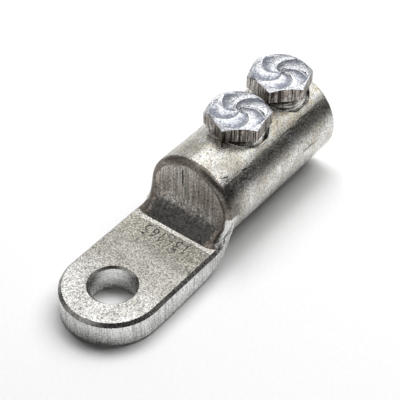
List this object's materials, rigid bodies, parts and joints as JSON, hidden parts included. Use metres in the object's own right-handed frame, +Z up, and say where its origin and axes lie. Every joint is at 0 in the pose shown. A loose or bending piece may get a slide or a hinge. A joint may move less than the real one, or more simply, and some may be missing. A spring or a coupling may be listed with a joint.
{
  "type": "mechanical cable lug",
  "caption": "Aluminium cable lug with a flat palm and stud hole at one end and a round barrel with hex-headed shear bolts at the other.",
  "frame": {"origin": "centre of the stud hole at the palm's underside", "axes": "+X from the palm to the barrel's open mouth, +Z up out of the palm and along the bolts"},
  "size_m": [0.1007, 0.0294, 0.0347],
  "materials": {
    "lug_metal": "milled and tinned, satin",
    "bolt_metal": "bright, machined"
  },
  "bodies": {
    "lug": {"lug_body": "lug_metal"},
    "front_bolt": {"shear_bolt_front": "bolt_metal"},
    "rear_bolt": {"shear_bolt_rear": "bolt_metal"}
  },
  "joints": [
    {"name": "front_bolt_travel", "type": "slide", "parent": "lug", "child": "front_bolt", "axis": [0, 0, 1], "range_m": [0, 0.003]},
    {"name": "rear_bolt_travel", "type": "slide", "parent": "lug", "child": "rear_bolt", "axis": [0, 0, 1], "range_m": [0, 0.003]}
  ]
}
